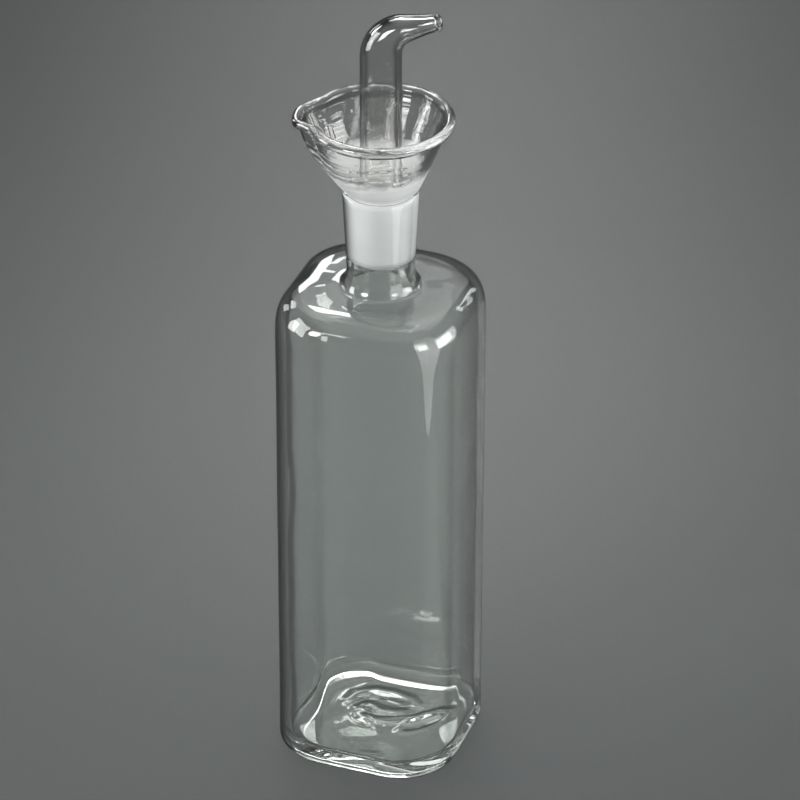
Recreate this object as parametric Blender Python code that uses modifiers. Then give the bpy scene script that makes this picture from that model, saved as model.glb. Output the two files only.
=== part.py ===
"""Oil dispenser bottle: a square blown bottle and the funnel pourer that stands in its neck.

Metres, +Z up. The origin is the middle of the foot, the sides face X and Y, and the spout points along +X.
Run with: blender --background --python part.py
"""
import math

import bmesh
import bpy

MM = 0.001

# Driving sizes of the bottle
SIDE = 62.0 * MM             # width across two flat sides
CORNER = 20.0 * MM           # radius of the upright edges
WALL = 2.0 * MM              # blown wall
HEEL = 3.0 * MM              # radius where the wall turns under
FOOT_WIDTH = 3.5 * MM        # flat ring that the bottle stands on
PUSH_UP = 2.5 * MM           # hollow under the floor
FLOOR = 3.0 * MM             # glass in the floor, at its edge
FLOOR_SWELL = 1.5 * MM       # extra glass in the floor's middle
SHOULDER_START = 154.5 * MM  # height where the sides stop being straight
SHOULDER_TOP = 173.8 * MM    # height of the shoulder where the neck leaves it
SHOULDER_BOW = 4.2           # power of the shoulder's superellipse, 2 is a plain quarter ellipse
NECK_TOP = 208.2 * MM
NECK_RADIUS = 12.4 * MM      # outside, at the top
NECK_ROOT = 180.5 * MM       # height where the neck starts to flare
NECK_FLARE = 2.8 * MM        # how far the root spreads
TAPER = 0.05                 # radius gained for each unit of height in the ground joint

# Driving sizes of the pourer
JOINT_RADIUS = 10.6 * MM     # the neck's bore at its top
JOINT_GAP = 0.28 * MM        # between the neck's bore and the cone in it
CONE_BOTTOM = 183.5 * MM
CONE_TOP = 208.7 * MM
CONE_WALL = 1.7 * MM
CUP_ROOT = 210.0 * MM        # height where the cup's wall starts
CUP_ROOT_RADIUS = 12.7 * MM
RIM_HEIGHT = 232.9 * MM      # middle of the rim's bead
RIM_RADIUS = 21.9 * MM       # middle of the rim's bead
RIM_BEAD = 1.8 * MM          # radius of the bead
CUP_WALL = 2.0 * MM
CUP_BULGE = 1.5 * MM         # how far the cup's wall bows out at half height
CUP_LEAN = 1.3 * MM          # how far the blown cup sits to one side at half height
LEAN_AZIMUTH = math.radians(200)
WEB_TOP = 211.0 * MM         # the glass that closes the cup round the tube
WEB_THICK = 2.4 * MM
LIP_AZIMUTH = math.radians(193)
LIP_HALF_WIDTH = math.radians(25)
LIP_REACH = 4.6 * MM
LIP_DIP = 0.8 * MM
TUBE_RADIUS = 6.65 * MM
TUBE_WALL = 1.6 * MM
BEND_START = 255.6 * MM      # height where the tube starts to bend
BEND_RADIUS = 12.0 * MM
SPOUT_PITCH = math.radians(21)
SPOUT_LENGTH = 12.4 * MM     # straight end after the bend
TIP_RADIUS = 2.95 * MM
TIP_BORE = 1.35 * MM
VENT_RADIUS = 1.2 * MM       # lets drips run back and air go in
VENT_AZIMUTH = math.radians(40)

# Fineness
BOTTLE_SEGMENTS = 48
POURER_SEGMENTS = 40


def make_collection(name):
    collection = bpy.data.collections.new(name)
    bpy.context.scene.collection.children.link(collection)
    return collection


def make_material(name, colour, roughness):
    material = bpy.data.materials.new(name)
    material.use_nodes = True
    shader = material.node_tree.nodes["Principled BSDF"]
    shader.inputs["Base Color"].default_value = (*colour, 1.0)
    shader.inputs["Roughness"].default_value = roughness
    shader.inputs["Metallic"].default_value = 0.0
    shader.inputs["IOR"].default_value = 1.47
    shader.inputs["Transmission Weight"].default_value = 1.0
    return material


def make_object(name, mesh, collection, material=None):
    new = bpy.data.objects.new(name, mesh)
    collection.objects.link(new)
    if material:
        mesh.materials.append(material)
    return new


def quarter(start, end, steps, power=2.0, flat_first=False):
    """Points of a quarter superellipse between two (radius, height) points, without the first one.

    It leaves start upright, or flat if flat_first, and arrives the other way.
    """
    points = []
    for step in range(1, steps + 1):
        turn = math.pi / 2 * step / steps
        slow = 1 - max(math.cos(turn), 0.0) ** (2 / power)
        fast = math.sin(turn) ** (2 / power)
        across, up = (fast, slow) if flat_first else (slow, fast)
        points.append((start[0] + (end[0] - start[0]) * across, start[1] + (end[1] - start[1]) * up))
    return points


def square_radius(angle, half, corner):
    """Distance from the axis to a rounded square's side, along one direction."""
    corner = min(corner, half)
    straight = half - corner
    along, across = sorted((abs(math.cos(angle)), abs(math.sin(angle))), reverse=True)
    if half / along * across <= straight:
        return half / along
    reach = straight * (along + across)
    return reach + math.sqrt(max(reach * reach - 2 * straight * straight + corner * corner, 0.0))


def skin_sections(inset, floor_middle, floor_edge, foot):
    """Sections of one skin of the bottle, as (half width, corner radius, height), from floor to neck root.

    inset is how far the skin lies inside the outer faces.
    """
    half = SIDE / 2 - inset
    corner = CORNER - inset
    sections = []
    # The floor, round in the middle and square at the heel
    floor_half = half - HEEL - foot
    for share in (0.06, 0.25, 0.45, 0.65, 0.82, 1.0):
        width = floor_half * share
        rounding = width * (1 - (1 - (corner - HEEL - foot) / floor_half) * share)
        height = floor_middle + (floor_edge - floor_middle) * share ** 2
        sections.append((width, rounding, height))
    # The foot ring, which only the outer skin has, then the heel
    if foot:
        sections.append((half - HEEL - foot + 0.6 * MM, corner - HEEL - foot + 0.6 * MM, 0.0))
        sections.append((half - HEEL, corner - HEEL, 0.0))
    heel_height = 0.0 if foot else floor_edge
    for width, height in quarter((half - HEEL, heel_height), (half, heel_height + HEEL), 4, flat_first=True):
        sections.append((width, corner - (half - width), height))
    # The straight sides and the shoulder, which turns round as it closes in
    shoulder_half = NECK_RADIUS - TAPER * (NECK_TOP - NECK_ROOT) + NECK_FLARE - inset
    sections.append((half, corner, SHOULDER_START - 60 * MM))
    sections.append((half, corner, SHOULDER_START))
    for width, height in quarter((half, SHOULDER_START), (shoulder_half, SHOULDER_TOP - inset), 9, SHOULDER_BOW):
        share = (half - width) / (half - shoulder_half)
        square = corner - (half - width)
        sections.append((width, square + (width - square) * share, height))
    return sections


def bottle_sections():
    """All sections of the bottle's skin: outside from foot to rim, then inside from rim to floor."""
    outer = skin_sections(0.0, PUSH_UP, 0.4 * MM, FOOT_WIDTH)
    root_radius = NECK_RADIUS - TAPER * (NECK_TOP - NECK_ROOT)
    flare_foot = (root_radius + NECK_FLARE, SHOULDER_TOP)
    for radius, height in quarter(flare_foot, (root_radius, NECK_ROOT), 5, flat_first=True):
        outer.append((radius, radius, height))
    rim = 0.6 * MM
    outer.append((NECK_RADIUS - TAPER * rim, NECK_RADIUS, NECK_TOP - rim))
    outer.append((NECK_RADIUS - rim, NECK_RADIUS, NECK_TOP))

    inner = skin_sections(WALL, PUSH_UP + FLOOR + FLOOR_SWELL, FLOOR, 0.0)
    root_bore = JOINT_RADIUS - TAPER * (NECK_TOP - NECK_ROOT)
    flare_foot = inner[-1][0], inner[-1][2]
    for radius, height in quarter(flare_foot, (root_bore, NECK_ROOT - 1.5 * MM), 5, flat_first=True):
        inner.append((radius, radius, height))
    inner.append((JOINT_RADIUS, JOINT_RADIUS, NECK_TOP - rim / 2))
    inner.append((JOINT_RADIUS + rim / 2, JOINT_RADIUS + rim / 2, NECK_TOP))
    return outer + inner[::-1]


def make_bottle(collection, material):
    """The bottle is a loft of rounded squares that turn into circles."""
    shape = bmesh.new()
    rings = []
    for half, corner, height in bottle_sections():
        ring = []
        for step in range(BOTTLE_SEGMENTS):
            angle = math.tau * (step + 0.5) / BOTTLE_SEGMENTS
            radius = square_radius(angle, half, corner)
            ring.append(shape.verts.new((radius * math.cos(angle), radius * math.sin(angle), height)))
        rings.append(ring)
    for low, high in zip(rings, rings[1:]):
        for step in range(BOTTLE_SEGMENTS):
            after = (step + 1) % BOTTLE_SEGMENTS
            shape.faces.new((low[step], low[after], high[after], high[step]))
    shape.faces.new(rings[0][::-1])
    shape.faces.new(rings[-1])
    bmesh.ops.triangulate(shape, faces=shape.faces[:], quad_method="SHORT_EDGE")
    bmesh.ops.recalc_face_normals(shape, faces=shape.faces)
    mesh = bpy.data.meshes.new("bottle")
    shape.to_mesh(mesh)
    shape.free()
    mesh.shade_smooth()
    return make_object("bottle", mesh, collection, material)


def cup_radius(height):
    """Outside radius of the cup's wall, which widens to the rim and bows out between."""
    rise = (height - CUP_ROOT) / (RIM_HEIGHT - CUP_ROOT)
    return CUP_ROOT_RADIUS + (RIM_RADIUS - CUP_ROOT_RADIUS) * rise + CUP_BULGE * math.sin(math.pi * rise)


def pourer_profile():
    """Half section of the turned part of the pourer, from the web's top round the cup and cone to its underside."""
    lean = math.atan((RIM_RADIUS - CUP_ROOT_RADIUS) / (RIM_HEIGHT - CUP_ROOT))
    thickness = CUP_WALL / math.cos(lean)
    wall_low = WEB_TOP + 2.5 * MM
    wall_high = RIM_HEIGHT - 2.5 * MM
    heights = [wall_low + (wall_high - wall_low) * step / 4 for step in range(5)]
    # Top of the web, then up the inside of the cup
    points = [(0.0, WEB_TOP), (TUBE_RADIUS + 0.8 * MM, WEB_TOP)]
    points += quarter(points[-1], (cup_radius(wall_low) - thickness, wall_low), 4, flat_first=True)
    points += [(cup_radius(height) - thickness, height) for height in heights[1:]]
    # The rim's bead, from where the inner wall meets it to where the outer wall does
    for step in range(11):
        angle = math.radians(190) - math.radians(215) * step / 10
        points.append((RIM_RADIUS + RIM_BEAD * math.cos(angle), RIM_HEIGHT + RIM_BEAD * math.sin(angle)))
    # Down the outside of the cup, in to the cone and down it
    points += [(cup_radius(height), height) for height in heights[::-1]]
    cone_radius = JOINT_RADIUS - JOINT_GAP - TAPER * (NECK_TOP - CONE_TOP)
    points.append((CUP_ROOT_RADIUS, CUP_ROOT))
    points.append((CUP_ROOT_RADIUS - 0.5 * MM, CUP_ROOT - 0.8 * MM))
    points.append((cone_radius + 0.3 * MM, CONE_TOP + 0.1 * MM))
    points.append((cone_radius, CONE_TOP - 0.3 * MM))
    foot_radius = cone_radius - TAPER * (CONE_TOP - CONE_BOTTOM)
    points.append((foot_radius, CONE_BOTTOM + 0.6 * MM))
    points.append((foot_radius - 0.6 * MM, CONE_BOTTOM))
    # Up the inside of the cone to the underside of the web
    points.append((foot_radius - CONE_WALL + 0.4 * MM, CONE_BOTTOM))
    points.append((foot_radius - CONE_WALL, CONE_BOTTOM + 0.5 * MM))
    ceiling = WEB_TOP - WEB_THICK
    inner_top = (cone_radius - CONE_WALL, ceiling - 3 * MM)
    points.append(inner_top)
    points += quarter(inner_top, (TUBE_RADIUS - TUBE_WALL + 1.2 * MM, ceiling), 4)
    points.append((0.0, ceiling))
    return points


def turned_mesh(name, profile, segments):
    """Turns an (x, z) profile round the Z axis with a Screw modifier and returns the finished mesh."""
    outline = bpy.data.meshes.new(name + "_profile")
    outline.from_pydata([(radius, 0.0, height) for radius, height in profile],
                        [(step, step + 1) for step in range(len(profile) - 1)], [])
    turned = bpy.data.objects.new(name + "_turned", outline)
    bpy.context.scene.collection.objects.link(turned)
    screw = turned.modifiers.new("turn", "SCREW")
    screw.axis = "Z"
    screw.angle = math.tau
    screw.steps = segments
    screw.render_steps = segments
    screw.use_merge_vertices = True
    screw.merge_threshold = 0.00001
    depsgraph = bpy.context.evaluated_depsgraph_get()
    mesh = bpy.data.meshes.new_from_object(turned.evaluated_get(depsgraph))
    bpy.data.objects.remove(turned)
    shape = bmesh.new()
    shape.from_mesh(mesh)
    bmesh.ops.remove_doubles(shape, verts=shape.verts, dist=0.00001)
    bmesh.ops.recalc_face_normals(shape, faces=shape.faces)
    shape.to_mesh(mesh)
    shape.free()
    return mesh


def draw_cup(mesh):
    """Leans the blown cup a little to one side and draws its lip outward and down, more towards the rim."""
    for vertex in mesh.vertices:
        place = vertex.co
        radius = math.hypot(place.x, place.y)
        rise = (place.z - CUP_ROOT) / (RIM_HEIGHT - CUP_ROOT)
        if rise <= 0 or radius < CUP_ROOT_RADIUS - CUP_WALL:
            continue
        turn = (math.atan2(place.y, place.x) - LIP_AZIMUTH + math.pi) % math.tau - math.pi
        if abs(turn) < LIP_HALF_WIDTH:
            pull = math.cos(turn / LIP_HALF_WIDTH * math.pi / 2) ** 2 * min(rise, 1.1)
            place.x *= 1 + LIP_REACH * pull / radius
            place.y *= 1 + LIP_REACH * pull / radius
            place.z -= LIP_DIP * pull * rise
        lean = CUP_LEAN * math.sin(math.pi * min(rise, 1.0))
        place.x += lean * math.cos(LEAN_AZIMUTH)
        place.y += lean * math.sin(LEAN_AZIMUTH)


def tube_route(start_height, overshoot):
    """Points up the tube, round its bend and out of the spout, each with its share of the narrowing."""
    bend_angle = math.pi / 2 - SPOUT_PITCH
    taper_length = BEND_RADIUS * bend_angle + SPOUT_LENGTH
    route = [(0.0, start_height, 0.0), (0.0, BEND_START - 1.5 * MM, 0.0)]
    for step in range(1, 11):
        angle = bend_angle * step / 10
        route.append((BEND_RADIUS * (1 - math.cos(angle)), BEND_START + BEND_RADIUS * math.sin(angle),
                      BEND_RADIUS * angle / taper_length))
    bend_x, bend_z = route[-1][0], route[-1][1]
    bend_share = route[-1][2]
    for step in range(1, 6):
        share = step / 5
        length = SPOUT_LENGTH * share + (overshoot if step == 5 else 0.0)
        route.append((bend_x + length * math.cos(SPOUT_PITCH), bend_z + length * math.sin(SPOUT_PITCH),
                      bend_share + (1 - bend_share) * share))
    return route


def tube_mesh(name, start_height, overshoot, wide, narrow):
    """A solid rod along the tube's route that narrows from one radius to the other, as a welded mesh."""
    curve = bpy.data.curves.new(name, "CURVE")
    curve.dimensions = "3D"
    curve.bevel_depth = 1.0
    curve.bevel_resolution = 8
    curve.use_fill_caps = True
    spline = curve.splines.new("POLY")
    route = tube_route(start_height, overshoot)
    spline.points.add(len(route) - 1)
    for point, (x, z, share) in zip(spline.points, route):
        ease = share * share * (3 - 2 * share)
        point.co = (x, 0.0, z, 1.0)
        point.radius = wide + (narrow - wide) * ease
    holder = bpy.data.objects.new(name, curve)
    bpy.context.scene.collection.objects.link(holder)
    depsgraph = bpy.context.evaluated_depsgraph_get()
    mesh = bpy.data.meshes.new_from_object(holder.evaluated_get(depsgraph))
    bpy.data.objects.remove(holder)
    shape = bmesh.new()
    shape.from_mesh(mesh)
    bmesh.ops.remove_doubles(shape, verts=shape.verts, dist=0.00001)
    bmesh.ops.recalc_face_normals(shape, faces=shape.faces)
    shape.to_mesh(mesh)
    shape.free()
    return mesh


def make_cutter(name, mesh, collection):
    cutter = make_object(name, mesh, collection)
    cutter.hide_render = True
    cutter.display_type = "WIRE"
    return cutter


def vent_mesh():
    """A short upright drill for the vent in the web, between the tube and the cup's wall."""
    shape = bmesh.new()
    bmesh.ops.create_cone(shape, cap_ends=True, segments=12, radius1=VENT_RADIUS, radius2=VENT_RADIUS,
                          depth=WEB_THICK + 6 * MM)
    mesh = bpy.data.meshes.new("vent_drill")
    shape.to_mesh(mesh)
    shape.free()
    return mesh


def make_pourer(parts, cutters, material):
    """The turned cup and cone, with the bent tube fused through the web between them."""
    body = turned_mesh("pourer", pourer_profile(), POURER_SEGMENTS)
    draw_cup(body)
    pourer = make_object("pourer", body, parts, material)
    tube = make_cutter("tube_rod", tube_mesh("tube_rod", WEB_TOP - WEB_THICK / 2, 0.0, TUBE_RADIUS, TIP_RADIUS),
                       cutters)
    bore = make_cutter("bore_rod", tube_mesh("bore_rod", WEB_TOP - WEB_THICK - 3 * MM, 2 * MM,
                                             TUBE_RADIUS - TUBE_WALL, TIP_BORE), cutters)
    vent = make_cutter("vent_drill", vent_mesh(), cutters)
    vent_distance = TUBE_RADIUS + VENT_RADIUS + 0.5 * MM
    vent.location = (vent_distance * math.cos(VENT_AZIMUTH), vent_distance * math.sin(VENT_AZIMUTH),
                     WEB_TOP - WEB_THICK / 2)
    for other, operation in ((tube, "UNION"), (bore, "DIFFERENCE"), (vent, "DIFFERENCE")):
        cut = pourer.modifiers.new(other.name, "BOOLEAN")
        cut.operation = operation
        cut.solver = "EXACT"
        cut.object = other
    body.shade_smooth()
    return pourer


def build():
    for old in list(bpy.data.objects):
        bpy.data.objects.remove(old)
    parts = make_collection("oil_dispenser_bottle")
    cutters = make_collection("cutters")
    make_bottle(parts, make_material("bottle_glass", (0.93, 0.96, 0.95), 0.02))
    make_pourer(parts, cutters, make_material("pourer_glass", (0.95, 0.96, 0.96), 0.05))


build()
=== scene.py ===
# %% [markdown]
# # An oil dispenser bottle in clear glass
# The object is a tall square bottle, blown from borosilicate glass, with a ground glass pourer resting in
# its neck. Glass has no colour of its own to paint, so everything that shows is shape: how thick the wall
# is, where it bends and how evenly it was blown. That is why the pieces here are dense, smooth, closed
# skins with a true inner face, and why the light around them is planned as carefully as they are.

# %% Load the frame
import math

import bmesh
import bpy
from mathutils import Matrix, Vector, noise


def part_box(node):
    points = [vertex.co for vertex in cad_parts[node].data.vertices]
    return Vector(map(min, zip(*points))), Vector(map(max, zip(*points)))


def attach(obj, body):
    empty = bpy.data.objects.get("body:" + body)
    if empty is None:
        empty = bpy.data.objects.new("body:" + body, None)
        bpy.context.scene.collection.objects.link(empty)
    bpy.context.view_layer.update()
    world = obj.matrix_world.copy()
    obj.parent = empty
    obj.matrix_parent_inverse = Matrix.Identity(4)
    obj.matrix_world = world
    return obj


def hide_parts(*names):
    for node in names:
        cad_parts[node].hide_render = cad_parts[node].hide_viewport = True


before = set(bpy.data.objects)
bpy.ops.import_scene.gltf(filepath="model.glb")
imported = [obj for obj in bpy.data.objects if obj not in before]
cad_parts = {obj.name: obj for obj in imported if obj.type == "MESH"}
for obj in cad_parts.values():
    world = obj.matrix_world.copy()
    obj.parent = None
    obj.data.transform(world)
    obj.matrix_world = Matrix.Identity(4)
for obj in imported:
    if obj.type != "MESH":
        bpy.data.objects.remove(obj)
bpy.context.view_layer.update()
MM = 0.001

# %% [markdown]
# ## The camera
# The photograph looks down on the bottle with a long lens, so the upright sides barely converge. A lens of
# about 220 mm on a full frame, a metre and a half away, gives that. Its place was worked out from the
# outlines in the photograph: how far the sides lean in, how round the rim's ellipse is and how the foot
# turns at its corners.

# %% Camera
CAMERA_PLACE = Vector((0.4691, -1.2705, 0.9748))
CAMERA_PITCH = math.radians(31.98)
CAMERA_HEADING = math.radians(20.0)
CAMERA_ROLL = math.radians(0.15)
LENS = 220.5

camera_data = bpy.data.cameras.new("photo_camera")
camera_data.lens = LENS
camera_data.sensor_width = 36.0
camera_data.clip_end = 100.0
camera = bpy.data.objects.new("photo_camera", camera_data)
bpy.context.scene.collection.objects.link(camera)
turn = Matrix.Rotation(CAMERA_HEADING, 4, "Z") @ Matrix.Rotation(math.pi / 2 - CAMERA_PITCH, 4, "X")
camera.matrix_world = Matrix.Translation(CAMERA_PLACE) @ turn @ Matrix.Rotation(CAMERA_ROLL, 4, "Z")
bpy.context.scene.camera = camera
print("camera distance", round(CAMERA_PLACE.length, 3), "m")

# %% [markdown]
# ## A ring that grows into a skin
# A bottle is a loft: each level has an outline, and the outlines join up. In Blender the plain way to do
# this in mesh code is to draw one circle, move its points to the first outline, extrude the loop and move
# the new points to the next outline. Each point keeps its number round the ring in a layer, so a new loop
# knows which point is which.

# %% Loft helper
def grow_skin(name, sections, segments, place, joined=False):
    """Extrudes one loop through all sections. joined makes the last loop meet the first."""
    shape = bmesh.new()
    number = shape.verts.layers.int.new("turn")
    start = bmesh.ops.create_circle(shape, segments=segments, radius=1.0)["verts"]
    for index, vertex in enumerate(start):
        vertex[number] = index
        vertex.co = place(sections[0], index / segments)
    loop = shape.edges[:]
    first_loop = loop
    for section in sections[1:]:
        grown = bmesh.ops.extrude_edge_only(shape, edges=loop)["geom"]
        fresh = {item for item in grown if isinstance(item, bmesh.types.BMVert)}
        for vertex in fresh:
            vertex.co = place(section, vertex[number] / segments)
        loop = [item for item in grown if isinstance(item, bmesh.types.BMEdge) and set(item.verts) <= fresh]
    if joined:
        bmesh.ops.bridge_loops(shape, edges=first_loop + loop)
    else:
        bmesh.ops.holes_fill(shape, edges=first_loop + loop, sides=0)
    bmesh.ops.recalc_face_normals(shape, faces=shape.faces)
    mesh = bpy.data.meshes.new(name)
    shape.to_mesh(mesh)
    shape.free()
    mesh.shade_smooth()
    piece = bpy.data.objects.new(name, mesh)
    bpy.context.scene.collection.objects.link(piece)
    return piece


def quarter(start, end, steps, power=2.0, flat_first=False):
    """Points of a quarter superellipse from one (radius, height) to another, without the first."""
    points = []
    for step in range(1, steps + 1):
        angle = math.pi / 2 * step / steps
        slow = 1 - max(math.cos(angle), 0.0) ** (2 / power)
        fast = math.sin(angle) ** (2 / power)
        across, up = (fast, slow) if flat_first else (slow, fast)
        points.append((start[0] + (end[0] - start[0]) * across, start[1] + (end[1] - start[1]) * up))
    return points

# %% [markdown]
# ## The bottle's outline
# Seen from above the bottle is a square whose edges are rounded by a third of its width. Higher up the
# square turns into the round neck. One rule covers both: a half width and a corner radius, where a corner
# radius as large as the half width makes a circle. The two largest sizes are read from the CAD model, so
# the skins stay inside its box.

# %% Bottle sizes
bottle_low, bottle_high = (Vector(corner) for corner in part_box("bottle"))
SIDE = bottle_high.x - bottle_low.x
NECK_TOP = bottle_high.z
CORNER = 20.0 * MM
INNER_CORNER = 21.0 * MM
WALL = 2.0 * MM
HEEL = 3.0 * MM
FOOT_WIDTH = 3.5 * MM
PUSH_UP = 2.5 * MM
FOOT_LIFT = 0.4 * MM
FLOOR_GLASS = 1.4 * MM
DISH = 1.4 * MM
INNER_HEEL = 3.0 * MM
SHOULDER_START = 154.5 * MM
SHOULDER_TOP = 173.8 * MM
SHOULDER_BOW = 4.2
NECK_RADIUS = 12.4 * MM
NECK_ROOT = 180.5 * MM
NECK_FLARE = 2.8 * MM
TAPER = 0.05
JOINT_RADIUS = 10.6 * MM
NECK_RIM = 0.5 * MM
SKIN_SEGMENTS = 144
print("bottle side", round(SIDE / MM, 2), "mm, neck top", round(NECK_TOP / MM, 2), "mm")


def square_radius(angle, half, corner):
    """Distance from the axis to the side of a rounded square."""
    corner = min(corner, half)
    straight = half - corner
    along, across = sorted((abs(math.cos(angle)), abs(math.sin(angle))), reverse=True)
    if half / along * across <= straight:
        return half / along
    reach = straight * (along + across)
    return reach + math.sqrt(max(reach * reach - 2 * straight * straight + corner * corner, 0.0))

# %% [markdown]
# ## Outer and inner skin
# The outer skin runs from the middle of the hollow under the floor, over the foot and heel, up the sides,
# round the shoulder and up the neck. The inner skin comes back down. A Solidify modifier would give an even
# wall, but a blown bottle hasn't one: glass gathers in the corners, so the inner corners are rounder, and
# the inner floor is a shallow dish with a small heel of its own. The rising edge of that dish catches the
# light that draws the floor's outline.

# %% Bottle sections
OUTSIDE, INSIDE = 0, 1
FLOOR_STEPS = (30, 46)
HEEL_STEPS = 14
STRAIGHT_STEPS = 28
SHOULDER_STEPS = 40
NECK_STEPS = 12
FOOT_EDGE = 0.3 * MM


def skin(face, inset, floor_middle, floor_edge, foot, heel):
    """Sections of one skin, (half width, corner radius, height, face), from the floor to the shoulder."""
    half = SIDE / 2 - inset
    corner = INNER_CORNER if face == INSIDE else CORNER
    floor_half = half - heel - foot
    sections = []
    for step in range(1, FLOOR_STEPS[face] + 1):
        share = step / FLOOR_STEPS[face]
        width = floor_half * share
        rounding = width * (1 - (1 - (corner - heel - foot) / floor_half) * share)
        sections.append((width, rounding, floor_middle + (floor_edge - floor_middle) * share ** 2))
    heel_height = 0.0 if foot else floor_edge
    for inward in (foot - FOOT_EDGE, foot - 2 * FOOT_EDGE, foot / 2, 0.0) if foot else ():
        sections.append((half - heel - inward, corner - heel - inward, 0.0))
    turn_up = quarter((half - heel, heel_height), (half, heel_height + heel), HEEL_STEPS, flat_first=True)
    for width, height in turn_up:
        sections.append((width, corner - (half - width), height))
    straight_from = heel_height + heel
    for step in range(1, STRAIGHT_STEPS + 1):
        height = straight_from + (SHOULDER_START - straight_from) * step / STRAIGHT_STEPS
        sections.append((half, corner, height))
    shoulder_half = NECK_RADIUS - TAPER * (NECK_TOP - NECK_ROOT) + NECK_FLARE - inset
    shoulder_end = (shoulder_half, SHOULDER_TOP - inset)
    for width, height in quarter((half, SHOULDER_START), shoulder_end, SHOULDER_STEPS, SHOULDER_BOW):
        share = (half - width) / (half - shoulder_half)
        square = corner - (half - width)
        sections.append((width, square + (width - square) * share, height))
    return [section + (face,) for section in sections]


def neck(face, radius, shoulder_end, root_height, brim):
    """Round sections of one skin from the shoulder's end up to the neck's brim."""
    root = radius - TAPER * (NECK_TOP - NECK_ROOT)
    points = quarter(shoulder_end, (root, root_height), HEEL_STEPS, flat_first=True)
    for step in range(1, NECK_STEPS + 1):
        height = NECK_ROOT + (NECK_TOP - NECK_RIM - NECK_ROOT) * step / NECK_STEPS
        points.append((radius - TAPER * (NECK_TOP - height), height))
    points += quarter((radius - TAPER * NECK_RIM, NECK_TOP - NECK_RIM), (brim, NECK_TOP), 5)
    return [(across, across, height, face) for across, height in points]


def bottle_sections():
    outer = skin(OUTSIDE, 0.0, PUSH_UP, FOOT_LIFT, FOOT_WIDTH, HEEL)
    root = NECK_RADIUS - TAPER * (NECK_TOP - NECK_ROOT)
    outer += neck(OUTSIDE, NECK_RADIUS, (root + NECK_FLARE, SHOULDER_TOP), NECK_ROOT, NECK_RADIUS - 0.9 * MM)
    floor_middle = PUSH_UP + FLOOR_GLASS
    inner = skin(INSIDE, WALL, floor_middle, floor_middle + DISH, 0.0, INNER_HEEL)
    inner_end = (inner[-1][0], inner[-1][2])
    inner += neck(INSIDE, JOINT_RADIUS, inner_end, NECK_ROOT - 1.5 * MM, JOINT_RADIUS + 0.4 * MM)
    return outer + inner[::-1]

# %% [markdown]
# ## Blown glass is never quite even
# A blown wall is moulded on the outside and free on the inside, so the inner face wanders by a few tenths
# of a millimetre. In clear glass those tenths bend every line behind them. A smooth noise with a real size
# in millimetres gives that: long and shallow on the sides, shorter and deeper on the shoulder, where the
# glass was still moving. Each wave below is (height, length, seed).

# %% Wandering walls
OUTER_SIDE_WAVE = (0.10 * MM, 34 * MM, 7.7)
OUTER_SHOULDER_WAVE = (0.20 * MM, 13 * MM, 5.2)
OUTER_FLOOR_WAVE = (0.12 * MM, 9 * MM, 1.4)
INNER_SIDE_WAVE = (0.20 * MM, 26 * MM, 4.3)
INNER_SHOULDER_WAVE = (0.45 * MM, 10 * MM, 8.8)
INNER_FLOOR_WAVE = (0.15 * MM, 15 * MM, 2.6)


def wander(point, size, seed):
    """A smooth value from about -1 to 1 that changes over size metres."""
    return noise.noise(Vector((point.x / size + seed, point.y / size - seed, point.z / size + 2 * seed)))


def wave(point, kind, sunk=0.0):
    """The height of one wave here. sunk=1 keeps it below the plain surface."""
    height, length, seed = kind
    return height * (wander(point, length, seed) - sunk)


def ease(value, low, high):
    """Rises softly from 0 at low to 1 at high."""
    share = min(max((value - low) / (high - low), 0.0), 1.0)
    return share * share * (3 - 2 * share)

# %% [markdown]
# ## The swirl in the floor
# When the blowpipe and the last gather leave the glass, the floor sets with a curl in it: a looped ridge
# with a leaf-shaped hollow beside it and a little crushed patch between them. A sculpted floor would do,
# but formulas are easier to repeat: the ridge follows a few points, each given as (x, y) in millimetres
# from the middle of the floor, and the leaf and the crushed patch are laid beside it.

# %% Floor swirl
CURL = ((-12.0, 4.2), (-11.4, 7.4), (-8.6, 10.4), (-3.4, 12.4), (2.4, 13.0),
        (7.4, 11.6), (10.6, 8.6), (10.2, 5.2), (6.6, 3.2), (1.8, 2.8),
        (-2.6, 3.8), (-6.4, 3.2), (-8.4, 0.6), (-6.6, -2.8), (-2.0, -3.4),
        (2.6, -2.2), (6.8, -0.8), (11.4, 1.6), (15.6, 4.8), (18.6, 7.0))
LEAF_MIDDLE = Vector((15.6, 0.4)) * MM
LEAF_TURN = math.radians(55)
LEAF_LENGTH = 8.4 * MM
LEAF_WIDTH = 3.1 * MM
LEAF_RIM = 0.40 * MM
LEAF_DEPTH = 0.50 * MM
RIDGE_HEIGHT = 0.9 * MM
RIDGE_WIDTH = 2.7 * MM
CRUSH_MIDDLE = Vector((-0.4, -4.6)) * MM
CRUSH_REACH = 4.2 * MM
CRUSH_WAVE = (0.34 * MM, 1.9 * MM, 3.1)


def distance_to_curl(place):
    """How far a place on the floor is from the nearest piece of the curl."""
    nearest = 1.0
    for start, end in zip(CURL, CURL[1:]):
        first, last = Vector(start) * MM, Vector(end) * MM
        along = last - first
        share = min(max((place - first).dot(along) / along.length_squared, 0.0), 1.0)
        nearest = min(nearest, (place - first - along * share).length)
    return nearest


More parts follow.
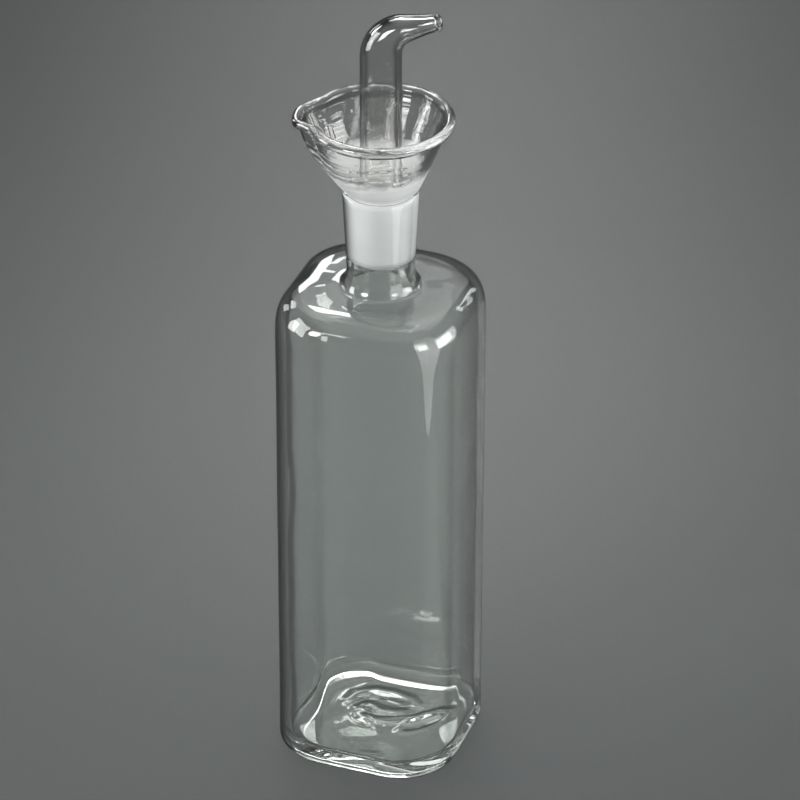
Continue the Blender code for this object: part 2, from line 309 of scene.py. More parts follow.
def swirl(point):
    """Height of the inner floor above its plain dish."""
    place = Vector((point.x, point.y))
    ridge = RIDGE_HEIGHT * math.exp(-(distance_to_curl(place) / RIDGE_WIDTH) ** 2)
    leaf = place - LEAF_MIDDLE
    leaf.rotate(Matrix.Rotation(-LEAF_TURN, 2))
    reach = math.hypot(leaf.x / LEAF_LENGTH, leaf.y / LEAF_WIDTH)
    rim = LEAF_RIM * math.exp(-((reach - 1.0) / 0.24) ** 2)
    hollow = -LEAF_DEPTH * math.exp(-(reach / 0.75) ** 2)
    crushed = math.exp(-((place - CRUSH_MIDDLE).length / CRUSH_REACH) ** 2)
    return ridge + rim + hollow + wave(point, CRUSH_WAVE) * crushed

# %% [markdown]
# ## Blowing the bottle
# Each wave belongs to one part of the bottle and fades out where the next part starts, so the joint's
# ground bore stays true and the foot stands flat. The sides of the outer skin only move inwards and its
# shoulder only down, because the bottle must stay inside its own box.

# %% Bottle
FLOOR_FADES_UP = (6 * MM, 11 * MM)
FLOOR_FADES_OUT = (20 * MM, 25 * MM)
SHOULDER_STARTS = (148 * MM, 163 * MM)
SHOULDER_ENDS = (170 * MM, 177 * MM)
NECK_STARTS = (172 * MM, 181 * MM)
UNDER_FLOOR_HEIGHT = 3 * MM
UNDER_FLOOR_REACH = 21 * MM


def blown(point, face):
    """Moves a point of the plain bottle to where the blown wall is."""
    around = Vector((point.x, point.y, 0.0))
    outward = around.normalized() if around.length > 1e-6 else Vector((0.0, 0.0, 0.0))
    on_floor = 1 - ease(point.z, *FLOOR_FADES_UP)
    flat = 1 - ease(around.length, *FLOOR_FADES_OUT)
    on_shoulder = ease(point.z, *SHOULDER_STARTS) * (1 - ease(point.z, *SHOULDER_ENDS))
    below_neck = 1 - ease(point.z, *NECK_STARTS)
    if face == OUTSIDE:
        side = wave(point, OUTER_SIDE_WAVE, sunk=1.0) * below_neck * ease(point.z, 0.0, 12 * MM)
        dip = wave(point, OUTER_SHOULDER_WAVE, sunk=1.0) * on_shoulder
        under_floor = point.z < UNDER_FLOOR_HEIGHT and around.length < UNDER_FLOOR_REACH
        sag = wave(point, OUTER_FLOOR_WAVE) * flat if under_floor else 0.0
        return point + outward * side + Vector((0.0, 0.0, dip + max(sag, -point.z)))
    side = wave(point, INNER_SIDE_WAVE) * below_neck * ease(point.z, 6 * MM, 20 * MM)
    dip = wave(point, INNER_SHOULDER_WAVE) * on_shoulder
    bowl = (wave(point, INNER_FLOOR_WAVE) + swirl(point)) * on_floor * flat
    return point + outward * side + Vector((0.0, 0.0, dip + bowl))


def place_on_square(section, share):
    half, corner, height, face = section
    angle = math.tau * share
    radius = square_radius(angle, half, corner)
    return blown(Vector((radius * math.cos(angle), radius * math.sin(angle), height)), face)


bottle = grow_skin("bottle_glass", bottle_sections(), SKIN_SEGMENTS, place_on_square)
print("bottle", len(bottle.data.polygons), "faces")

# %% [markdown]
# ## The pourer
# The pourer is one piece of lampworked glass: a hollow ground cone, a catch cup fused on top of it, and a
# tube fused through the web between them. It could be turned and then joined to a bent tube with a Boolean,
# but the seam would show in clear glass. Here the same growing loop runs the whole way round: up the cone
# and cup, over the rim, down inside, up the tube, round its tip and back down the bore. Its last loop meets
# its first, so every fillet is smooth.

# %% Pourer sizes
JOINT_GAP = 0.28 * MM
CONE_BOTTOM = 183.5 * MM
CONE_TOP = 208.7 * MM
CONE_WALL = 1.7 * MM
CUP_ROOT = 210.0 * MM
CUP_ROOT_RADIUS = 12.7 * MM
RIM_HEIGHT = 232.9 * MM
RIM_RADIUS = 21.9 * MM
RIM_BEAD = 1.8 * MM
CUP_WALL = 2.0 * MM
CUP_BULGE = 1.5 * MM
CUP_LEAN = 1.3 * MM
LEAN_AZIMUTH = math.radians(200)
WEB_TOP = 211.0 * MM
WEB_THICK = 2.4 * MM
WEB_FILLET = 1.6 * MM
BORE_FLARE = 1.2 * MM
LIP_AZIMUTH = math.radians(193)
LIP_HALF_WIDTH = math.radians(28)
LIP_REACH = 4.4 * MM
LIP_DIP = 0.8 * MM
TUBE_RADIUS = 6.65 * MM
TUBE_WALL = 1.6 * MM
BEND_START = 255.6 * MM
BEND_RADIUS = 12.0 * MM
SPOUT_PITCH = math.radians(21)
SPOUT_LENGTH = 12.4 * MM
TIP_RADIUS = 2.95 * MM
TIP_BORE = 1.35 * MM
TIP_MELT = 0.8 * MM
POURER_SEGMENTS = 112

# %% [markdown]
# ### Sections on the axis
# The turned part is a list of (radius, height) pairs. The cup's wall bows out a little between its root and
# its rim, and the rim is a bead, because a cut glass edge is melted round in the flame.

# %% Cup and cone sections
CONE_RADIUS = JOINT_RADIUS - JOINT_GAP - TAPER * (NECK_TOP - CONE_TOP)
CONE_FOOT = CONE_RADIUS - TAPER * (CONE_TOP - CONE_BOTTOM)


def cup_radius(height):
    rise = (height - CUP_ROOT) / (RIM_HEIGHT - CUP_ROOT)
    return CUP_ROOT_RADIUS + (RIM_RADIUS - CUP_ROOT_RADIUS) * rise + CUP_BULGE * math.sin(math.pi * rise)


def spaced(low, high, count):
    return [low + (high - low) * step / count for step in range(count + 1)]


def turned_sections():
    thickness = CUP_WALL / math.cos(math.atan((RIM_RADIUS - CUP_ROOT_RADIUS) / (RIM_HEIGHT - CUP_ROOT)))
    points = [(CONE_FOOT - CONE_WALL / 2, CONE_BOTTOM)]
    points += quarter((CONE_FOOT - 0.7 * MM, CONE_BOTTOM), (CONE_FOOT, CONE_BOTTOM + 0.8 * MM), 5,
                      flat_first=True)
    for height in spaced(CONE_BOTTOM + 0.8 * MM, CONE_TOP - 0.4 * MM, 16)[1:]:
        points.append((CONE_FOOT + TAPER * (height - CONE_BOTTOM), height))
    points += quarter(points[-1], (CUP_ROOT_RADIUS - 0.6 * MM, CUP_ROOT - 0.5 * MM), 6)
    points += quarter(points[-1], (CUP_ROOT_RADIUS, CUP_ROOT + 0.4 * MM), 5, flat_first=True)
    wall_low, wall_high = CUP_ROOT + 0.9 * MM, RIM_HEIGHT - 2.2 * MM
    points += [(cup_radius(height), height) for height in spaced(wall_low, wall_high, 40)]
    for step in range(25):
        angle = math.radians(-25) + math.radians(215) * step / 24
        points.append((RIM_RADIUS + RIM_BEAD * math.cos(angle), RIM_HEIGHT + RIM_BEAD * math.sin(angle)))
    inner_low = WEB_TOP + 2.5 * MM
    points += [(cup_radius(height) - thickness, height) for height in spaced(inner_low, wall_high, 30)[::-1]]
    points += quarter(points[-1], (TUBE_RADIUS + WEB_FILLET, WEB_TOP), 9)
    points += quarter(points[-1], (TUBE_RADIUS, WEB_TOP + WEB_FILLET), 8, flat_first=True)
    return points


def ceiling_sections():
    """From the bore's foot out under the web and down the inside of the cone."""
    ceiling = WEB_TOP - WEB_THICK
    points = quarter((TUBE_RADIUS - TUBE_WALL, ceiling + BORE_FLARE), (TUBE_RADIUS - 0.4 * MM, ceiling), 6)
    points += quarter(points[-1], (CONE_RADIUS - CONE_WALL, ceiling - 3 * MM), 9, flat_first=True)
    for height in spaced(CONE_BOTTOM + 0.7 * MM, ceiling - 3 * MM, 16)[::-1][1:]:
        points.append((CONE_FOOT - CONE_WALL + TAPER * (height - CONE_BOTTOM), height))
    return points

# %% [markdown]
# ### Sections along the tube
# The tube goes straight up, round a bend and out at a shallow pitch, and it narrows from the bend on,
# because the glassblower draws it while it is soft. Each section here has a middle, a tilt and a radius.

# %% Tube sections
BEND_ANGLE = math.pi / 2 - SPOUT_PITCH
TAPER_LENGTH = BEND_RADIUS * BEND_ANGLE + SPOUT_LENGTH


def tube_section(length, wide, narrow):
    """A section this far past the start of the bend, as (radius, middle, tilt)."""
    angle = min(max(length / BEND_RADIUS, 0.0), BEND_ANGLE)
    middle = Vector((BEND_RADIUS * (1 - math.cos(angle)), 0.0, BEND_START + BEND_RADIUS * math.sin(angle)))
    if length < 0:
        middle.z += length
    past = max(length - BEND_RADIUS * BEND_ANGLE, 0.0)
    middle += Vector((math.cos(SPOUT_PITCH), 0.0, math.sin(SPOUT_PITCH))) * past
    return (wide + (narrow - wide) * ease(length, 0.0, TAPER_LENGTH), middle, angle)


def tube_sections():
    below = BEND_START - WEB_TOP - WEB_FILLET
    melted = TAPER_LENGTH - TIP_MELT
    lengths = spaced(-below, 0.0, 16)[1:] + spaced(0.0, melted, 44)[1:]
    sections = [tube_section(length, TUBE_RADIUS, TIP_RADIUS) for length in lengths]
    # The melted tip is a small bead
    for step in range(1, 8):
        turned = math.pi * step / 8
        swing = (TIP_RADIUS - TIP_BORE) / 2
        radius, middle, tilt = tube_section(melted + swing * math.sin(turned), 0.0, 0.0)
        sections.append((TIP_BORE + swing + (swing + 0.15 * MM) * math.cos(turned), middle, tilt))
    bore_foot = -(BEND_START - (WEB_TOP - WEB_THICK + BORE_FLARE))
    lengths = spaced(bore_foot, 0.0, 16) + spaced(0.0, melted, 44)[1:]
    sections += [tube_section(length, TUBE_RADIUS - TUBE_WALL, TIP_BORE) for length in lengths[::-1]]
    return sections

# %% [markdown]
# ### Drawing the lip
# While the rim is hot, one side is pulled out with a rod to make a lip. The pull is strongest at the rim
# and fades down the wall. The whole cup also sits a touch to one side, as hand work does.

# %% Pourer
RIPPLE_PITCH = 3.1 * MM
RIPPLE_DEPTH = 0.20 * MM
CUP_INNER_WAVE = (0.16 * MM, 7 * MM, 9.4)
CUP_OUTER_WAVE = (0.14 * MM, 8 * MM, 2.2)
RIPPLE_FADE_WAVE = (0.35, 11 * MM, 6.1)


def ripples(place, radius, height, rise, angle):
    """The wall of the cup sets in shallow rings where it was blown out, most of all towards the lip."""
    outside = radius > cup_radius(height) - CUP_WALL / 2
    if not outside:
        return wave(place, CUP_INNER_WAVE) * ease(rise, 0.1, 0.3) * (1 - ease(rise, 0.8, 0.95))
    on_wall = ease(rise, 0.08, 0.34) * (1 - ease(rise, 0.62, 0.86))
    drift = 1.4 * math.sin(2 * angle) + 0.9 * math.sin(3 * angle + 1)
    rings = math.sin(math.tau * height / RIPPLE_PITCH + drift)
    uneven = 0.5 + 0.5 * math.cos(angle - LIP_AZIMUTH) + wave(place, RIPPLE_FADE_WAVE)
    return (RIPPLE_DEPTH * (rings - 1) * uneven + wave(place, CUP_OUTER_WAVE)) * on_wall


def place_on_pourer(section, share):
    """A section of two values lies level on the axis, one of three lies across the bent tube."""
    angle = math.tau * share
    if len(section) == 3:
        radius, middle, tilt = section
        around = Vector((radius * math.cos(angle), radius * math.sin(angle), 0.0))
        around.rotate(Matrix.Rotation(tilt, 3, "Y"))
        return middle + around
    radius, height = section
    around = Vector((radius * math.cos(angle), radius * math.sin(angle), 0.0))
    place = around + Vector((0.0, 0.0, height))
    rise = (height - CUP_ROOT) / (RIM_HEIGHT - CUP_ROOT)
    if rise <= 0 or radius < CUP_ROOT_RADIUS - CUP_WALL:
        return place
    away = (angle - LIP_AZIMUTH + math.pi) % math.tau - math.pi
    if abs(away) < LIP_HALF_WIDTH:
        pull = ease(1 - abs(away) / LIP_HALF_WIDTH, 0.0, 0.8) * min(rise, 1.1)
        place.x += LIP_REACH * pull * math.cos(angle)
        place.y += LIP_REACH * pull * math.sin(angle)
        place.z -= LIP_DIP * pull * rise
    lean = CUP_LEAN * math.sin(math.pi * min(rise, 1.0))
    place.x += lean * math.cos(LEAN_AZIMUTH)
    place.y += lean * math.sin(LEAN_AZIMUTH)
    return place + around.normalized() * ripples(place, radius, height, rise, angle)


pourer_sections = turned_sections() + tube_sections() + ceiling_sections()
pourer = grow_skin("pourer_glass", pourer_sections, POURER_SEGMENTS, place_on_pourer, joined=True)
print("pourer", len(pourer.data.polygons), "faces")

# %% [markdown]
# ## The ground joint
# Where cone and neck meet, both faces are ground with grit so that they seal. Grit leaves them matt and
# white. A matt face seen through clear glass only looks right if nothing lies between them: with air in
# front of it, the neck's bore would mirror the room at its edges. So this thin sleeve fills the hair of
# space between cone and bore and reaches a few hundredths of a millimetre into both.

# %% Ground faces
GROUND_LOW = CONE_BOTTOM + 1.0 * MM
GROUND_HIGH = NECK_TOP - 0.6 * MM
GROUND_TOP = CONE_TOP - 0.2 * MM
BITE = 0.03 * MM


def on_bore(height):
    return JOINT_RADIUS - TAPER * (NECK_TOP - height)


def on_cone(height):
    return CONE_FOOT + TAPER * (height - CONE_BOTTOM)


def ground_sections():
    bore = [(on_bore(height) + BITE, height) for height in spaced(GROUND_LOW, GROUND_HIGH, 12)]
    brim = [(on_cone(height) + 2 * BITE, height) for height in spaced(GROUND_HIGH + 0.1 * MM, GROUND_TOP, 3)]
    cone = [(on_cone(height) - BITE, height) for height in spaced(GROUND_LOW, GROUND_TOP, 14)]
    return bore + brim + cone[::-1]


def place_round(section, share):
    radius, height = section
    return Vector((radius * math.cos(math.tau * share), radius * math.sin(math.tau * share), height))


ground = grow_skin("ground_joint", ground_sections(), 96, place_round, joined=True)
print("ground joint", len(ground.data.polygons), "faces")

# %% [markdown]
# ## Materials
# Colours are given as sRGB hex values, as a paint program shows them, and one function turns them into the
# linear values that a shader works with.

# %% Material helpers
def linear(hex_colour):
    channels = [int(hex_colour[start:start + 2], 16) / 255 for start in (1, 3, 5)]
    return [c / 12.92 if c <= 0.04045 else ((c + 0.055) / 1.055) ** 2.4 for c in channels] + [1.0]


def new_material(name):
    material = bpy.data.materials.new(name)
    material.use_nodes = True
    material.node_tree.nodes.clear()
    return material


def add_node(material, kind, settings=None, links=None):
    """Adds a node, sets its properties and sockets, and links its sockets to the outputs given."""
    node = material.node_tree.nodes.new(kind)
    for name, value in (settings or {}).items():
        if isinstance(name, str) and hasattr(node, name):
            setattr(node, name, value)
        else:
            node.inputs[name].default_value = value
    for name, output in (links or {}).items():
        material.node_tree.links.new(output, node.inputs[name])
    return node

# %% [markdown]
# ### Painted shade on bent edges
# A bent wall of clear glass sends light sideways, so it looks dark where it is seen edge on. A path tracer
# finds much of that by itself. The rest is painted shade: a share of a near black edge colour tints the glass
# and lays a dark matt coat over it where the wall turns away, in place of the dark room that a real bottle
# would show there. It counts only where a ray enters the glass. On the flat sides most of it is left out,
# since a flat wall sends every ray on as it came.

# %% Painted edge shade
EDGE_START = 0.33
EDGE_FULL = 0.84
BENT_BELOW = 0.955
FLAT_ABOVE = 0.998
FLAT_SHARE = 0.25


def painted_edge_shade(material, strength, flat_faces):
    """How much painted edge shade shows: none where the glass faces the eye, strength where it turns away."""
    layer = add_node(material, "ShaderNodeLayerWeight", {"Blend": 0.5})
    turned = add_node(material, "ShaderNodeMapRange",
                      {"interpolation_type": "SMOOTHSTEP", 1: EDGE_START, 2: EDGE_FULL, 3: 0.0, 4: strength},
                      {0: layer.outputs["Facing"]})
    surface = add_node(material, "ShaderNodeNewGeometry")
    entering = add_node(material, "ShaderNodeMath", {"operation": "SUBTRACT", 0: 1.0},
                        {1: surface.outputs["Backfacing"]})
    share = add_node(material, "ShaderNodeMath", {"operation": "MULTIPLY"},
                     {0: turned.outputs[0], 1: entering.outputs[0]}).outputs[0]
    if not flat_faces:
        return share
    normal = add_node(material, "ShaderNodeSeparateXYZ", {}, {0: surface.outputs["Normal"]})
    along_x = add_node(material, "ShaderNodeMath", {"operation": "ABSOLUTE"}, {0: normal.outputs[0]})
    along_y = add_node(material, "ShaderNodeMath", {"operation": "ABSOLUTE"}, {0: normal.outputs[1]})
    straight = add_node(material, "ShaderNodeMath", {"operation": "MAXIMUM"},
                        {0: along_x.outputs[0], 1: along_y.outputs[0]})
    bent = add_node(material, "ShaderNodeMapRange",
                    {"interpolation_type": "SMOOTHSTEP", 1: BENT_BELOW, 2: FLAT_ABOVE, 3: 1.0, 4: FLAT_SHARE},
                    {0: straight.outputs[0]})
    return add_node(material, "ShaderNodeMath", {"operation": "MULTIPLY"},
                    {0: share, 1: bent.outputs[0]}).outputs[0]

# %% [markdown]
# ### Streaks
# Drawing the melt leaves faint streaks along the glass, about 7 mm wide and ten times as long. They are far
# too low to model, so they are a bump of a few hundredths of a millimetre.

# %% Streaks
STREAK_WIDTH = 7 * MM
STREAK_LENGTH = 70 * MM
STREAK_HEIGHT = 0.03 * MM


def streaks(material):
    """Faint bumps drawn out along the height."""
    place = add_node(material, "ShaderNodeTexCoord").outputs["Object"]
    stretched = add_node(material, "ShaderNodeMapping",
                         {"Scale": (1 / STREAK_WIDTH, 1 / STREAK_WIDTH, 1 / STREAK_LENGTH)}, {0: place})
    noise_wave = add_node(material, "ShaderNodeTexNoise", {"Scale": 1.0, "Detail": 1.0},
                          {"Vector": stretched.outputs[0]})
    return add_node(material, "ShaderNodeBump", {"Strength": 0.5, "Distance": STREAK_HEIGHT},
                    {"Height": noise_wave.outputs[0]}).outputs[0]

# %% [markdown]
# ### Ground faces
# Grit of a few hundredths of a millimetre makes glass matt: some light scatters back from it and some goes
# on through, spread out. The grain is drawn at half a millimetre, coarser than it is, so that it still
# shows.

# %% Matt glass
GRAIN = 0.5 * MM
CLOUD = 9 * MM
MATT_ROUGHNESS = 0.6


def matt_glass(material, colour, share=0.5):
    """Ground glass: one share of the light goes on through and the rest scatters back."""
    matt = add_node(material, "ShaderNodeBsdfPrincipled", {"Roughness": MATT_ROUGHNESS},
                    {"Base Color": colour})
    through = add_node(material, "ShaderNodeBsdfTranslucent", {}, {"Color": colour})
    return add_node(material, "ShaderNodeMixShader", {0: share},
                    {1: matt.outputs[0], 2: through.outputs[0]}).outputs[0]


def grit(material, dark, light):
    """Fine grain of a ground face with a slow unevenness over it."""
    place = add_node(material, "ShaderNodeTexCoord").outputs["Object"]
    fine = add_node(material, "ShaderNodeTexNoise", {"Scale": 1 / GRAIN, "Detail": 2.0}, {"Vector": place})
    slow = add_node(material, "ShaderNodeTexNoise", {"Scale": 1 / CLOUD, "Detail": 1.0}, {"Vector": place})
    both = add_node(material, "ShaderNodeMath", {"operation": "MULTIPLY_ADD", 1: 0.5},
                    {0: fine.outputs[0], 2: slow.outputs[0]})
    share = add_node(material, "ShaderNodeMapRange", {1: 0.45, 2: 1.05}, {0: both.outputs[0]})
    return add_node(material, "ShaderNodeMix", {"data_type": "RGBA", 6: linear(dark), 7: linear(light)},
                    {0: share.outputs[0]}).outputs[2]

# %% [markdown]
# ### Where the grinding runs out
# The cone is ground on a wheel, and the wheel reaches a few millimetres up the outside of the cup's root.
# Its edge is ragged, so a noise moves the height where the frost ends.

# %% Root frost
FROST_FROM_RADIUS = 11.2 * MM
FROST_FULL_RADIUS = 11.6 * MM
FROST_RAGGED = 5.0 * MM
FROST_THINS = 218.5 * MM
FROST_ENDS = 221.5 * MM
FROST_SHARE = 0.85


def root_frost(material):
    """The grinding runs out in a ragged edge round the outside of the cup's root."""
    place = add_node(material, "ShaderNodeTexCoord").outputs["Object"]
    level = add_node(material, "ShaderNodeVectorMath", {"operation": "MULTIPLY", 1: (1.0, 1.0, 0.0)},
                     {0: place})
    radius = add_node(material, "ShaderNodeVectorMath", {"operation": "LENGTH"}, {0: level.outputs[0]})
    outside = add_node(material, "ShaderNodeMapRange", {1: FROST_FROM_RADIUS, 2: FROST_FULL_RADIUS},
                       {0: radius.outputs["Value"]})
    height = add_node(material, "ShaderNodeSeparateXYZ", {}, {0: place})
    ragged = add_node(material, "ShaderNodeTexNoise", {"Scale": 1 / FROST_RAGGED, "Detail": 3.0},
                      {"Vector": place})
    raised = add_node(material, "ShaderNodeMath", {"operation": "MULTIPLY_ADD", 1: FROST_RAGGED},
                      {0: ragged.outputs[0], 2: height.outputs[2]})
    below = add_node(material, "ShaderNodeMapRange",
                     {"interpolation_type": "SMOOTHSTEP",
                      1: FROST_THINS, 2: FROST_ENDS, 3: FROST_SHARE, 4: 0.0},
                     {0: raised.outputs[0]})
    return add_node(material, "ShaderNodeMath", {"operation": "MULTIPLY"},
                    {0: outside.outputs[0], 1: below.outputs[0]}).outputs[0]

# %% [markdown]
# ### Borosilicate glass
# Borosilicate bends light a little less than window glass, so its IOR is 1.47. It is a touch grey in depth,
# which a volume absorption gives. A thin pale matt film, about one part in a hundred, is painted light: lit
# by the lamps, it lifts the darkest tones in place of the light that a bright room would reflect in the
# glass.
# The glass also carries the painted shade of its bent edges. Rays that carry shadows and diffuse light pass
# it almost unchanged, because finding their bent paths takes a renderer far too long, and the soft shadow of
# a clear bottle hardly shows them.

# %% Borosilicate glass
GLASS_IOR = 1.47
PAINTED_EDGE_DARK = 0.6
FILM_COLOUR = "#F0F2F0"
PASSING_LIGHT = (0.91, 0.914, 0.912, 1.0)
DEPTH_DENSITY = 8.0


def borosilicate(name, tint, painted_edge_colour, depth_colour, strength, flat_faces=False, frosted_root=False, film=0.0):
    material = new_material(name)
    share = painted_edge_shade(material, strength, flat_faces)
    # painted shade: the glass's tint turns towards the near black edge colour where the wall turns away
    colour = add_node(material, "ShaderNodeMix", {"data_type": "RGBA", 6: linear(tint), 7: linear(painted_edge_colour)},
                      {0: share})
    glass = add_node(material, "ShaderNodeBsdfPrincipled",
                     {"Roughness": 0.0, "IOR": GLASS_IOR, "Transmission Weight": 1.0},
                     {"Base Color": colour.outputs[2], "Normal": streaks(material)}).outputs[0]
    if frosted_root:
        frost = matt_glass(material, grit(material, "#DCDDDD", "#EEEFEF"))
        glass = add_node(material, "ShaderNodeMixShader", {},
                         {0: root_frost(material), 1: glass, 2: frost}).outputs[0]
    # painted shade: a near black matt coat mixed in at the bent edges
    dark = add_node(material, "ShaderNodeBsdfDiffuse", {"Color": linear(painted_edge_colour)})
    painted_dark_share = add_node(material, "ShaderNodeMath", {"operation": "MULTIPLY", 1: PAINTED_EDGE_DARK}, {0: share})
    glass = add_node(material, "ShaderNodeMixShader", {},
                     {0: painted_dark_share.outputs[0], 1: glass, 2: dark.outputs[0]}).outputs[0]
    # painted light: a pale matt film that lifts the glass's darkest tones, as a bright room's reflection
    # would
    painted_room_light = add_node(material, "ShaderNodeBsdfDiffuse", {"Color": linear(FILM_COLOUR)})
    glass = add_node(material, "ShaderNodeMixShader", {0: film}, {1: glass, 2: painted_room_light.outputs[0]}).outputs[0]
    clear = add_node(material, "ShaderNodeBsdfTransparent", {"Color": PASSING_LIGHT})
    path = add_node(material, "ShaderNodeLightPath")
    passing = add_node(material, "ShaderNodeMath", {"operation": "MAXIMUM"},
                       {0: path.outputs["Is Shadow Ray"], 1: path.outputs["Is Diffuse Ray"]})
    surface = add_node(material, "ShaderNodeMixShader", {},
                       {0: passing.outputs[0], 1: glass, 2: clear.outputs[0]})
    depth = add_node(material, "ShaderNodeVolumeAbsorption",
                     {"Color": linear(depth_colour), "Density": DEPTH_DENSITY})
    add_node(material, "ShaderNodeOutputMaterial", {},
             {"Surface": surface.outputs[0], "Volume": depth.outputs[0]})
    return material


blown_glass = borosilicate("blown_borosilicate_glass", "#FBFFFC", "#080A09", "#B8C2BD", 1.0,
                           flat_faces=True, film=0.011)
lampworked_glass = borosilicate("lampworked_borosilicate_glass", "#FFFFFE", "#0C0B0A", "#BFBEB8", 0.6,
                                frosted_root=True)
bottle.data.materials.append(blown_glass)
pourer.data.materials.append(lampworked_glass)
print("glass", blown_glass.name, "and", lampworked_glass.name)

# %% [markdown]
# ### Ground glass
# The sleeve in the joint is ground glass and nothing else. Light gets in from all round the joint, so it
# shines white from both sides; its two greys are painted light, lighter than those of the same ground glass
# on the cup's root.

# %% Ground glass
def ground_glass():
    material = new_material("ground_borosilicate_glass")
    # painted light: lighter greys than the cup's root, for the light that reaches the joint from all round
    ground_face = matt_glass(material, grit(material, "#EAEBEB", "#F6F7F7"))
    add_node(material, "ShaderNodeOutputMaterial", {}, {"Surface": ground_face})
    return material


ground.data.materials.append(ground_glass())
print("ground face", ground.data.materials[0].name)

# %% [markdown]
# ## What the pieces stand for
# Nothing on this object moves on a joint, so every piece rides on the one body. Two pieces take the place
# of the CAD solids, and the sleeve lies between them.

# %% Ride, slots and replaced nodes
for piece, slot_name, node_name in ((bottle, "bottle_glass", "bottle"), (pourer, "pourer_glass", "pourer"),
                                    (ground, "ground_glass", None)):
    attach(piece, "root")
    if node_name:
        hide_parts(node_name)
    print(piece.name, "has the slot", slot_name, "and stands for", node_name or "no solid")

# %% [markdown]
# ## The table
# The bottle stands on plain matt paper. It is a mid grey, because clear glass takes its tones from what
# lies behind it. The fibres are drawn at a millimetre and a half, in two greys that are almost the same.

# %% Floor
FLOOR_RADIUS = 8.0
FIBRE_SIZE = 1.5 * MM

floor_shape = bmesh.new()
bmesh.ops.create_circle(floor_shape, cap_ends=True, segments=96, radius=FLOOR_RADIUS)
floor_mesh = bpy.data.meshes.new("studio_floor")
floor_shape.to_mesh(floor_mesh)
floor_shape.free()
floor = bpy.data.objects.new("studio_floor", floor_mesh)
bpy.context.scene.collection.objects.link(floor)
floor_paper = new_material("matt_paper")
fibre_place = add_node(floor_paper, "ShaderNodeTexCoord").outputs["Object"]
fibres = add_node(floor_paper, "ShaderNodeTexNoise", {"Scale": 1 / FIBRE_SIZE, "Detail": 3.0},
                  {"Vector": fibre_place})
fibre_colour = add_node(floor_paper, "ShaderNodeMix",
                        {"data_type": "RGBA", 6: linear("#525454"), 7: linear("#565858")},
                        {0: fibres.outputs[0]})
paper = add_node(floor_paper, "ShaderNodeBsdfPrincipled", {"Roughness": 0.8, "Specular IOR Level": 0.2},
                 {"Base Color": fibre_colour.outputs[2]})
add_node(floor_paper, "ShaderNodeOutputMaterial", {}, {"Surface": paper.outputs[0]})
floor_mesh.materials.append(floor_paper)
print("floor of", floor_paper.name, "reaches", FLOOR_RADIUS, "m")

# %% [markdown]
# ## Light
# Clear glass shows its lights. The bright patch on the left of the cup's inside is a softbox standing to
# the right, and the smaller one on the right is a softbox to the left. The highlights on the shoulder and
# the floor come from those behind. The large dim banks overhead lay a haze on the shoulder and light the
# table, a narrow beam brightens the table behind the bottle, and two softboxes in front keep the ground
# joint white.

# %% Softboxes
TABLE_MIDDLE = Vector((0.0, 0.0, 0.15))
TABLE_BEHIND = Vector((-0.09, 0.25, 0.0))
TABLE_FAR_BEHIND = Vector((-0.11, 0.37, 0.0))
NECK = Vector((0.0, 0.0, 0.22))


def softbox(name, azimuth, elevation, distance, size, brightness, spread, aim=TABLE_MIDDLE):
    """A flat light that faces aim. azimuth turns from +X towards +Y, angles are in degrees, size in metres.

    brightness is its radiance, whatever its size. A narrow spread makes Blender's light brighter in the
    middle, so the power is cut by the same amount.
    """
    data = bpy.data.lights.new(name, "AREA")
    data.shape = "RECTANGLE"
    data.size, data.size_y = size
    data.spread = math.radians(spread)
    aside = (math.pi - data.spread) / 2
    narrowing = 2 / (2 + (2 * aside - math.pi) * math.tan(aside))
    data.energy = brightness * math.pi * size[0] * size[1] / narrowing
    light = bpy.data.objects.new(name, data)
    bpy.context.scene.collection.objects.link(light)
    flat = math.cos(math.radians(elevation)) * distance
    away = Vector((math.cos(math.radians(azimuth)) * flat, math.sin(math.radians(azimuth)) * flat,
                   math.sin(math.radians(elevation)) * distance))
    light.matrix_world = Matrix.Translation(aim + away) @ away.to_track_quat("Z", "Y").to_matrix().to_4x4()
    light.visible_camera = False
    return light


softbox("left_softbox", 198, 12, 0.85, (0.26, 0.50), 14.0, 90)
softbox("right_softbox", 14, 4, 0.60, (0.36, 0.30), 17.0, 60, NECK)
softbox("right_back_softbox", 62, 16, 1.3, (0.16, 0.40), 6.0, 100)
softbox("left_back_softbox", 158, 16, 1.3, (0.24, 0.40), 6.0, 100)
softbox("back_softbox", 122, 46, 1.2, (0.24, 0.20), 18.0, 50)
softbox("window_softbox", 121, 27, 1.3, (0.26, 0.16), 15.0, 60)
softbox("overhead_softbox", 110, 84, 1.3, (0.50, 0.50), 4.5, 150, TABLE_BEHIND)
softbox("back_bank", 110, 57, 2.2, (2.4, 2.4), 1.3, 150, TABLE_BEHIND)
softbox("ceiling_bank", 110, 89, 3.0, (5.0, 5.0), 0.42, 179)
softbox("pool", 110, 88, 1.5, (0.05, 0.60), 700.0, 16, TABLE_FAR_BEHIND)
softbox("front_left_softbox", 242, 14, 1.2, (0.36, 0.40), 50.0, 30, NECK)
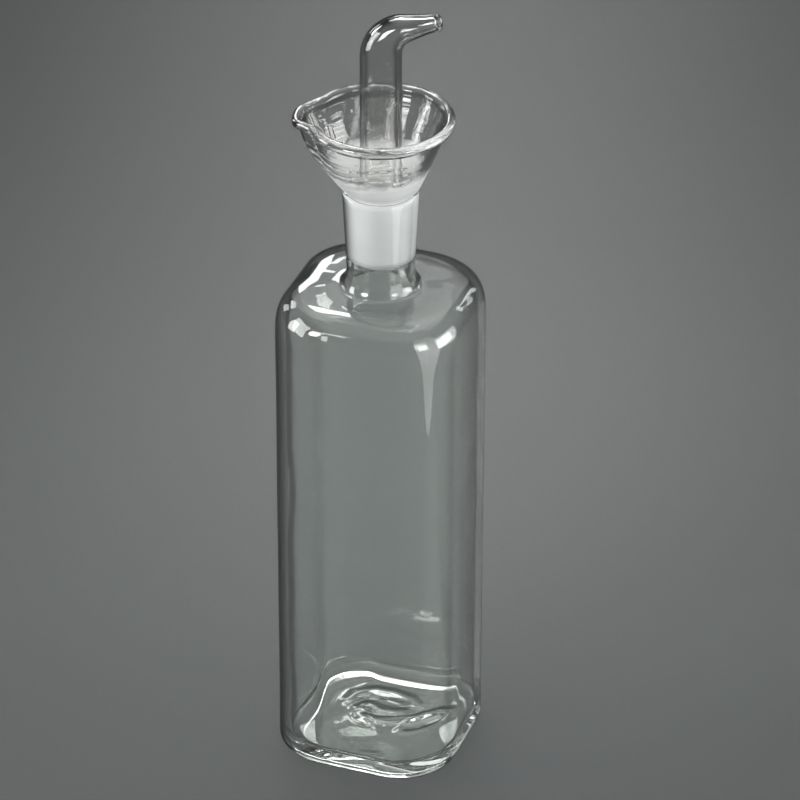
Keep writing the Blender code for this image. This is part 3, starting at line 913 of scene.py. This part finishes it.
softbox("front_right_softbox", 332, 14, 1.2, (0.36, 0.40), 20.0, 30, NECK)
print("softboxes", len(bpy.data.lights))

# %% [markdown]
# ### Lights close to the bottle
# The long streak under the right shoulder is the reflection of something bright close by. An elliptical
# panel gives its tapering end, and the same power on an ellipse is a quarter brighter. Three cards of
# different widths lie one over the other by the table's surface, so that together they are brightest in
# their middle and give the corner a soft band. From this near they would light the table and show through
# the glass, so light linking keeps them to the bottle, and only the outer surface reflects them.

# %% Panel and cards
CARD_AIM = Vector((0.184, -0.049, 0.20))
CARD_WIDTHS = (0.03, 0.05, 0.07)

only_bottle = bpy.data.collections.new("lit_by_cards")
only_bottle.objects.link(bottle)
panel = softbox("right_panel", 339, 4, 0.22, (0.18, 0.46), 4.2, 110, NECK)
panel.data.shape = "ELLIPSE"
cards = [softbox("table_card_" + str(number), 345, -89, 0.196, (width, 0.26), 0.25, 179, CARD_AIM)
         for number, width in enumerate(CARD_WIDTHS)]
for near in [panel] + cards:
    near.visible_transmission = False
    near.light_linking.receiver_collection = only_bottle
print("close lights", [near.name for near in [panel] + cards])

# %% [markdown]
# ### The room
# Beyond the softboxes the room is a dim even grey. It fills the reflections that no light reaches, and its
# dark is what gives the glass its thin edges.

# %% Room
ROOM_GREY = "#5A5C5C"
ROOM_STRENGTH = 0.25

world = bpy.data.worlds.new("studio")
bpy.context.scene.world = world
world.use_nodes = True
world.node_tree.nodes["Background"].inputs["Color"].default_value = linear(ROOM_GREY)
world.node_tree.nodes["Background"].inputs["Strength"].default_value = ROOM_STRENGTH
print("room", ROOM_GREY, "at", ROOM_STRENGTH)

# %% [markdown]
# ## Enough bounces
# A ray that crosses the tube, the cup and the bottle meets more than a dozen faces, and one that runs out
# of bounces turns black. The colours are shown as they are, without a film look.

# %% Render quality that glass needs
settings = bpy.context.scene.cycles
settings.max_bounces = 32
settings.transmission_bounces = 32
settings.glossy_bounces = 16
settings.transparent_max_bounces = 32
bpy.context.scene.view_settings.view_transform = "Standard"
print("light bounces", settings.max_bounces)
